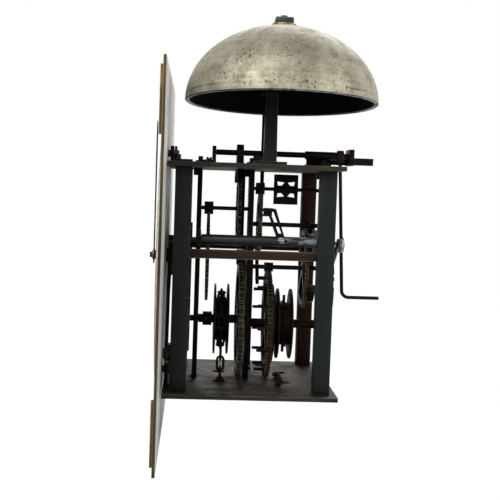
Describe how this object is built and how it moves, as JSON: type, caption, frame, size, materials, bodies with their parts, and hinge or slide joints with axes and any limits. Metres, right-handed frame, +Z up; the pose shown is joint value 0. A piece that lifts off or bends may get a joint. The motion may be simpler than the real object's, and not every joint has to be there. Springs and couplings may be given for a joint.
{
  "type": "longcase clock",
  "caption": "Longcase clock movement in an iron posted frame, with going and striking trains, chain pulleys, hammer, domed bell and a square brass dial.",
  "frame": {"origin": "middle of the bottom plate's underside, where the movement stands on its seat board", "axes": "+X to the side the picture is taken from (the right of someone who faces the dial), -Y out of the dial's face, +Z up"},
  "size_m": [0.254, 0.1669, 0.3006],
  "materials": {
    "bottom_plate": "aged and worn",
    "top_plate": "aged and worn",
    "corner_posts": "aged and worn",
    "side_rails": "aged and worn",
    "front_bar": "aged and worn",
    "centre_bar": "aged and worn",
    "rear_bar": "aged and worn",
    "bar_wedges": "aged and worn",
    "front_cock": "aged and worn",
    "back_cock": "aged and worn",
    "top_plate_screws": "aged and worn",
    "bell_stand": "aged and worn",
    "bell_washer": "aged and worn",
    "bell": "aged and worn",
    "bell_nut": "aged and worn",
    "dial_plate": "aged and worn",
    "chapter_ring": "aged and worn",
    "spandrels": "aged and worn",
    "dial_feet": "aged and worn",
    "dial_brackets": "aged and worn",
    "dial_pins": "aged and worn",
    "hammer_springs": "aged and worn",
    "centre_stud": "aged and worn",
    "lifting_stud": "aged and worn",
    "hanging_chain": "aged and worn",
    "loose_chain": "aged and worn",
    "going_great_arbor": "aged and worn",
    "going_great_wheel": "aged and worn",
    "minute_driver": "aged and worn",
    "going_pulley": "aged and worn",
    "wrapped_chain": "aged and worn",
    "second_arbor": "aged and worn",
    "second_wheel": "aged and worn",
    "escape_arbor": "aged and worn",
    "escape_wheel": "aged and worn",
    "pallet_arbor": "aged and worn",
    "anchor": "aged and worn",
    "crutch": "aged and worn",
    "minute_wheel": "aged and worn",
    "minute_hand": "aged and worn",
    "hour_wheel": "aged and worn",
    "hour_hand": "aged and worn",
    "strike_great_arbor": "aged and worn",
    "strike_great_wheel": "aged and worn",
    "hammer_pins": "aged and worn",
    "strike_pulley": "aged and worn",
    "hoop_arbor": "aged and worn",
    "hoop_wheel": "aged and worn",
    "hoop": "aged and worn",
    "warning_arbor": "aged and worn",
    "warning_wheel": "aged and worn",
    "fly_arbor": "aged and worn",
    "fly": "aged and worn",
    "count_wheel": "aged and worn",
    "detent_arbor": "aged and worn",
    "warning_lever": "aged and worn",
    "lifting_piece": "aged and worn",
    "hammer_arbor": "aged and worn",
    "hammer_stem": "aged and worn",
    "hammer_head": "aged and worn"
  },
  "bodies": {
    "frame": {"bottom_plate": "bottom_plate", "top_plate": "top_plate", "corner_posts": "corner_posts", "side_rails": "side_rails", "front_bar": "front_bar", "centre_bar": "centre_bar", "rear_bar": "rear_bar", "bar_wedges": "bar_wedges", "front_cock": "front_cock", "back_cock": "back_cock", "top_plate_screws": "top_plate_screws", "bell_stand": "bell_stand", "bell_washer": "bell_washer", "bell": "bell", "bell_nut": "bell_nut", "dial_plate": "dial_plate", "chapter_ring": "chapter_ring", "spandrels": "spandrels", "dial_feet": "dial_feet", "dial_brackets": "dial_brackets", "dial_pins": "dial_pins", "hammer_springs": "hammer_springs", "centre_stud": "centre_stud", "lifting_stud": "lifting_stud", "hanging_chain": "hanging_chain", "loose_chain": "loose_chain"},
    "going_great": {"going_great_arbor": "going_great_arbor", "going_great_wheel": "going_great_wheel", "minute_driver": "minute_driver", "going_pulley": "going_pulley", "wrapped_chain": "wrapped_chain"},
    "second": {"second_arbor": "second_arbor", "second_wheel": "second_wheel"},
    "escape": {"escape_arbor": "escape_arbor", "escape_wheel": "escape_wheel"},
    "pallets": {"pallet_arbor": "pallet_arbor", "anchor": "anchor", "crutch": "crutch"},
    "minute": {"minute_wheel": "minute_wheel", "minute_hand": "minute_hand"},
    "hour": {"hour_wheel": "hour_wheel", "hour_hand": "hour_hand"},
    "strike_great": {"strike_great_arbor": "strike_great_arbor", "strike_great_wheel": "strike_great_wheel", "hammer_pins": "hammer_pins"},
    "strike_drum": {"strike_pulley": "strike_pulley"},
    "hoop_unit": {"hoop_arbor": "hoop_arbor", "hoop_wheel": "hoop_wheel", "hoop": "hoop"},
    "warning": {"warning_arbor": "warning_arbor", "warning_wheel": "warning_wheel"},
    "fly_unit": {"fly_arbor": "fly_arbor", "fly": "fly"},
    "count": {"count_wheel": "count_wheel"},
    "detent": {"detent_arbor": "detent_arbor", "warning_lever": "warning_lever"},
    "lifting": {"lifting_piece": "lifting_piece"},
    "hammer": {"hammer_arbor": "hammer_arbor", "hammer_stem": "hammer_stem", "hammer_head": "hammer_head"}
  },
  "joints": [
    {"name": "going_great_turn", "type": "hinge", "parent": "frame", "child": "going_great", "pos_m": [0, -0.0188, 0.045], "axis": [0, 1, 0], "continuous": true},
    {"name": "second_turn", "type": "hinge", "parent": "frame", "child": "second", "pos_m": [0, -0.03, 0.09], "axis": [0, 1, 0], "continuous": true},
    {"name": "escape_turn", "type": "hinge", "parent": "frame", "child": "escape", "pos_m": [0, -0.0088, 0.1249], "axis": [0, 1, 0], "continuous": true},
    {"name": "minute_turn", "type": "hinge", "parent": "frame", "child": "minute", "pos_m": [0, -0.042, 0.09], "axis": [0, 1, 0], "continuous": true},
    {"name": "hour_turn", "type": "hinge", "parent": "frame", "child": "hour", "pos_m": [0, -0.047, 0.09], "axis": [0, 1, 0], "continuous": true},
    {"name": "pallets_swing", "type": "hinge", "parent": "frame", "child": "pallets", "pos_m": [0, -0.0088, 0.165], "axis": [0, 1, 0], "range_deg": [-2, 2]},
    {"name": "strike_great_turn", "type": "hinge", "parent": "frame", "child": "strike_great", "pos_m": [0, 0.0145, 0.0427], "axis": [0, 1, 0], "continuous": true},
    {"name": "strike_drum_turn", "type": "hinge", "parent": "strike_great", "child": "strike_drum", "pos_m": [0, 0.0265, 0.0427], "axis": [0, 1, 0], "continuous": true},
    {"name": "hoop_turn", "type": "hinge", "parent": "frame", "child": "hoop_unit", "pos_m": [0, 0.0396, 0.0835], "axis": [0, 1, 0], "continuous": true},
    {"name": "warning_turn", "type": "hinge", "parent": "frame", "child": "warning", "pos_m": [0, 0.0065, 0.1143], "axis": [0, 1, 0], "continuous": true},
    {"name": "fly_turn", "type": "hinge", "parent": "frame", "child": "fly_unit", "pos_m": [0, 0.025, 0.1398], "axis": [0, 1, 0], "continuous": true},
    {"name": "count_turn", "type": "hinge", "parent": "frame", "child": "count", "pos_m": [0, 0.0556, 0.0735], "axis": [0, 1, 0], "continuous": true},
    {"name": "lifting_swing", "type": "hinge", "parent": "frame", "child": "lifting", "pos_m": [0.058, -0.0562, 0.028], "axis": [0, 1, 0], "range_deg": [0, 6]},
    {"name": "detent_swing", "type": "hinge", "parent": "frame", "child": "detent", "pos_m": [0.048, 0.0154, 0.1045], "axis": [0, 1, 0], "range_deg": [0, 6]},
    {"name": "hammer_swing", "type": "hinge", "parent": "frame", "child": "hammer", "pos_m": [-0.048, 0.0107, 0.099], "axis": [0, 1, 0], "range_deg": [0, 12]}
  ],
  "couplings": [
    {"joint": "second_turn", "follows": "going_great_turn", "ratio": -8},
    {"joint": "escape_turn", "follows": "going_great_turn", "ratio": 60},
    {"joint": "minute_turn", "follows": "going_great_turn", "ratio": -1},
    {"joint": "hour_turn", "follows": "going_great_turn", "ratio": -0.083333},
    {"joint": "hoop_turn", "follows": "strike_great_turn", "ratio": -13},
    {"joint": "warning_turn", "follows": "strike_great_turn", "ratio": 117},
    {"joint": "fly_turn", "follows": "strike_great_turn", "ratio": -702},
    {"joint": "count_turn", "follows": "strike_great_turn", "ratio": -0.16667},
    {"joint": "detent_swing", "follows": "lifting_swing", "ratio": 1}
  ]
}
